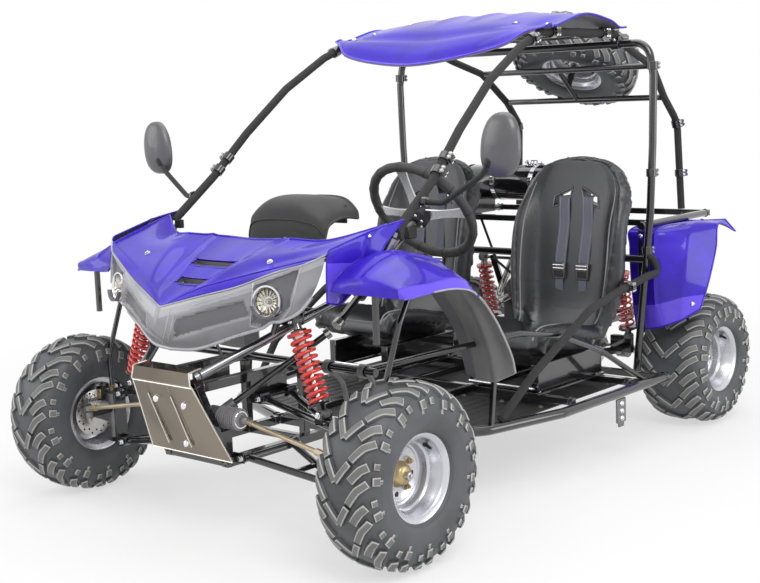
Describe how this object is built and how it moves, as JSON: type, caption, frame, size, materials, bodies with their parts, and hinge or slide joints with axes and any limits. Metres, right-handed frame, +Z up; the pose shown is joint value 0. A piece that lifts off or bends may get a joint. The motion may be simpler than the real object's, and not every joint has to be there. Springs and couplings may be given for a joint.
{
  "type": "off road go kart",
  "caption": "Off road go kart with a tube frame and cage, bucket seats, coil sprung front arms, rear swing arm, rack steering and knobbly tyres.",
  "frame": {"origin": "bottom centre of the bounding box, on the ground", "axes": "+Z up, the kart faces -Y, its left side is +X"},
  "size_m": [1.512, 2.347, 1.4676],
  "materials": {
    "purple": "glossy purple blue plastic",
    "charcoal": "satin charcoal plastic",
    "frameBlack": "gloss black painted steel tube",
    "wrapBlack": "textured matt black steel tube",
    "steel": "silver steel",
    "stainless": "polished stainless steel plate",
    "rubber": "black rubber",
    "leather": "black leather look",
    "springRed": "red painted spring steel",
    "zinc": "zinc plated steel",
    "plasticBlack": "black moulded plastic",
    "plasticGrey": "grey moulded plastic",
    "bootGrey": "grey ribbed rubber and housing",
    "glass": "clear lamp glass",
    "alloy": "cast aluminium"
  },
  "bodies": {
    "chassis": {"main_frame": "frameBlack", "front_frame": "frameBlack", "cage_side_left": "wrapBlack", "cage_side_right": "wrapBlack", "main_hoop": "frameBlack", "spare_rack": "frameBlack", "spare_wheel": "rubber", "side_bar_left": "wrapBlack", "side_bar_right": "wrapBlack", "skid_plate": "stainless", "front_cowl": "purple", "front_fascia": "charcoal", "headlamp_left": "glass", "headlamp_right": "glass", "front_fender_left": "purple", "front_fender_right": "purple", "dash_hood": "plasticBlack", "roof_panel": "purple", "rear_fender_left": "purple", "rear_fender_right": "purple", "rack_housing": "bootGrey", "engine": "alloy", "fuel_tank": "plasticBlack", "rear_shock_left": "springRed", "rear_shock_right": "springRed"},
    "steering_wheel": {"steering_wheel": "plasticBlack"},
    "steering_shaft": {"steering_shaft": "frameBlack"},
    "rack": {"rack_bar": "steel"},
    "swing_arm": {"swing_arm": "frameBlack"},
    "rear_wheels": {"rear_axle": "alloy", "rear_rim_left": "steel", "rear_rim_right": "steel", "rear_tyre_left": "rubber", "rear_tyre_right": "rubber"},
    "throttle_pedal": {"throttle_pedal": "alloy"},
    "brake_pedal": {"brake_pedal": "alloy"},
    "lower_arm_left": {"lower_arm_left": "frameBlack"},
    "upper_arm_left": {"upper_arm_left": "frameBlack"},
    "upright_left": {"upright_left": "frameBlack"},
    "spindle_left": {"spindle_left": "alloy"},
    "front_wheel_left": {"front_rim_left": "steel", "front_tyre_left": "rubber"},
    "tie_rod_left": {"tie_rod_left": "zinc"},
    "shock_body_left": {"front_shock_body_left": "alloy", "front_spring_left": "springRed"},
    "shock_rod_left": {"front_shock_rod_left": "steel"},
    "mirror_left": {"mirror_left": "plasticGrey"},
    "seat_left": {"seat_left": "leather"},
    "lower_arm_right": {"lower_arm_right": "frameBlack"},
    "upper_arm_right": {"upper_arm_right": "frameBlack"},
    "upright_right": {"upright_right": "frameBlack"},
    "spindle_right": {"spindle_right": "alloy"},
    "front_wheel_right": {"front_rim_right": "steel", "front_tyre_right": "rubber"},
    "tie_rod_right": {"tie_rod_right": "zinc"},
    "shock_body_right": {"front_shock_body_right": "alloy", "front_spring_right": "springRed"},
    "shock_rod_right": {"front_shock_rod_right": "steel"},
    "mirror_right": {"mirror_right": "plasticGrey"},
    "seat_right": {"seat_right": "leather"}
  },
  "joints": [
    {"name": "steering_turn", "type": "hinge", "parent": "chassis", "child": "steering_wheel", "pos_m": [0.3, -0.782, 0.56], "axis": [0, 0.81, 0.5865], "range_deg": [-150, 150]},
    {"name": "steering_shaft_turn", "type": "hinge", "parent": "chassis", "child": "steering_shaft", "pos_m": [0.3, -0.782, 0.56], "axis": [0.5424, 0.6307, 0.555], "range_deg": [-150, 150]},
    {"name": "rack_slide", "type": "slide", "parent": "chassis", "child": "rack", "axis": [1, 0, 0], "range_m": [-0.0375, 0.0375]},
    {"name": "swing_arm_travel", "type": "hinge", "parent": "chassis", "child": "swing_arm", "pos_m": [0, 0.468, 0.262], "axis": [1, 0, 0], "range_deg": [-4, 6], "stiffness_Nm_per_rad": 5000, "springref_deg": -5.73, "deforming": ["rear_shock_left", "rear_shock_right"]},
    {"name": "rear_axle_spin", "type": "hinge", "parent": "swing_arm", "child": "rear_wheels", "pos_m": [0, 0.842, 0.2285], "axis": [1, 0, 0], "continuous": true},
    {"name": "throttle_press", "type": "hinge", "parent": "chassis", "child": "throttle_pedal", "pos_m": [0.225, -0.732, 0.437], "axis": [-1, 0, 0], "range_deg": [0, 16], "stiffness_Nm_per_rad": 6, "springref_deg": -8.59},
    {"name": "brake_press", "type": "hinge", "parent": "chassis", "child": "brake_pedal", "pos_m": [0.355, -0.732, 0.437], "axis": [-1, 0, 0], "range_deg": [0, 14], "stiffness_Nm_per_rad": 20, "springref_deg": -5.73},
    {"name": "left_arm_travel", "type": "hinge", "parent": "chassis", "child": "lower_arm_left", "pos_m": [0.15, -0.932, 0.225], "axis": [0, -1, 0], "range_deg": [-6, 9], "stiffness_Nm_per_rad": 1600, "springref_deg": -7.45},
    {"name": "left_upper_arm_hinge", "type": "hinge", "parent": "chassis", "child": "upper_arm_left", "pos_m": [0.15, -0.932, 0.375], "axis": [0, -1, 0], "range_deg": [-6.2, 9.2]},
    {"name": "left_upright_hinge", "type": "hinge", "parent": "lower_arm_left", "child": "upright_left", "pos_m": [0.448, -0.932, 0.1725], "axis": [0, -1, 0], "range_deg": [-9.2, 6.2]},
    {"name": "left_kingpin", "type": "hinge", "parent": "upright_left", "child": "spindle_left", "pos_m": [0.5, -0.932, 0.2415], "axis": [0, 0, 1], "range_deg": [-22, 22]},
    {"name": "left_front_wheel_spin", "type": "hinge", "parent": "spindle_left", "child": "front_wheel_left", "pos_m": [0.6415, -0.932, 0.2415], "axis": [1, 0, 0], "continuous": true},
    {"name": "left_tie_rod_swing", "type": "hinge", "parent": "rack", "child": "tie_rod_left", "pos_m": [0.192, -1.032, 0.34], "axis": [0, -1, 0], "range_deg": [-6.2, 9.2]},
    {"name": "left_shock_swing", "type": "hinge", "parent": "chassis", "child": "shock_body_left", "pos_m": [0.3, -0.932, 0.606], "axis": [0, -1, 0], "range_deg": [-2.4, 3.5]},
    {"name": "left_shock_stroke", "type": "slide", "parent": "shock_body_left", "child": "shock_rod_left", "axis": [-0.3393, 0, 0.9407], "range_m": [-0.0245, 0.0355], "deforming": ["front_spring_left"]},
    {"name": "left_mirror_swivel", "type": "hinge", "parent": "chassis", "child": "mirror_left", "pos_m": [0.4658, -0.58916, 0.89227], "axis": [0.9564, 0.2869, -0.0547], "range_deg": [-12, 12]},
    {"name": "left_seat_slide", "type": "slide", "parent": "chassis", "child": "seat_left", "axis": [0, -1, 0], "range_m": [0, 0.1]},
    {"name": "right_arm_travel", "type": "hinge", "parent": "chassis", "child": "lower_arm_right", "pos_m": [-0.15, -0.932, 0.225], "axis": [0, 1, 0], "range_deg": [-6, 9], "stiffness_Nm_per_rad": 1600, "springref_deg": -7.45},
    {"name": "right_upper_arm_hinge", "type": "hinge", "parent": "chassis", "child": "upper_arm_right", "pos_m": [-0.15, -0.932, 0.375], "axis": [0, 1, 0], "range_deg": [-6.2, 9.2]},
    {"name": "right_upright_hinge", "type": "hinge", "parent": "lower_arm_right", "child": "upright_right", "pos_m": [-0.448, -0.932, 0.1725], "axis": [0, 1, 0], "range_deg": [-9.2, 6.2]},
    {"name": "right_kingpin", "type": "hinge", "parent": "upright_right", "child": "spindle_right", "pos_m": [-0.5, -0.932, 0.2415], "axis": [0, 0, 1], "range_deg": [-22, 22]},
    {"name": "right_front_wheel_spin", "type": "hinge", "parent": "spindle_right", "child": "front_wheel_right", "pos_m": [-0.6415, -0.932, 0.2415], "axis": [1, 0, 0], "continuous": true},
    {"name": "right_tie_rod_swing", "type": "hinge", "parent": "rack", "child": "tie_rod_right", "pos_m": [-0.192, -1.032, 0.34], "axis": [0, 1, 0], "range_deg": [-6.2, 9.2]},
    {"name": "right_shock_swing", "type": "hinge", "parent": "chassis", "child": "shock_body_right", "pos_m": [-0.3, -0.932, 0.606], "axis": [0, 1, 0], "range_deg": [-2.4, 3.5]},
    {"name": "right_shock_stroke", "type": "slide", "parent": "shock_body_right", "child": "shock_rod_right", "axis": [0.3393, 0, 0.9407], "range_m": [-0.0245, 0.0355], "deforming": ["front_spring_right"]},
    {"name": "right_mirror_swivel", "type": "hinge", "parent": "chassis", "child": "mirror_right", "pos_m": [-0.4658, -0.58916, 0.89227], "axis": [-0.9564, 0.2869, -0.0547], "range_deg": [-12, 12]},
    {"name": "right_seat_slide", "type": "slide", "parent": "chassis", "child": "seat_right", "axis": [0, -1, 0], "range_m": [0, 0.1]}
  ],
  "couplings": [
    {"joint": "steering_shaft_turn", "follows": "steering_turn", "ratio": 1},
    {"joint": "rack_slide", "follows": "steering_turn", "m_per_rad": 0.014133},
    {"joint": "left_upper_arm_hinge", "follows": "left_arm_travel", "ratio": 1},
    {"joint": "left_upright_hinge", "follows": "left_arm_travel", "ratio": -1},
    {"joint": "left_kingpin", "follows": "steering_turn", "ratio": 0.14477},
    {"joint": "left_tie_rod_swing", "follows": "left_arm_travel", "ratio": 1},
    {"joint": "left_shock_swing", "follows": "left_arm_travel", "ratio": 0.352},
    {"joint": "left_shock_stroke", "follows": "left_arm_travel", "m_per_rad": 0.2205},
    {"joint": "right_upper_arm_hinge", "follows": "right_arm_travel", "ratio": 1},
    {"joint": "right_upright_hinge", "follows": "right_arm_travel", "ratio": -1},
    {"joint": "right_kingpin", "follows": "steering_turn", "ratio": 0.14477},
    {"joint": "right_tie_rod_swing", "follows": "right_arm_travel", "ratio": 1},
    {"joint": "right_shock_swing", "follows": "right_arm_travel", "ratio": 0.352},
    {"joint": "right_shock_stroke", "follows": "right_arm_travel", "m_per_rad": 0.2205}
  ]
}
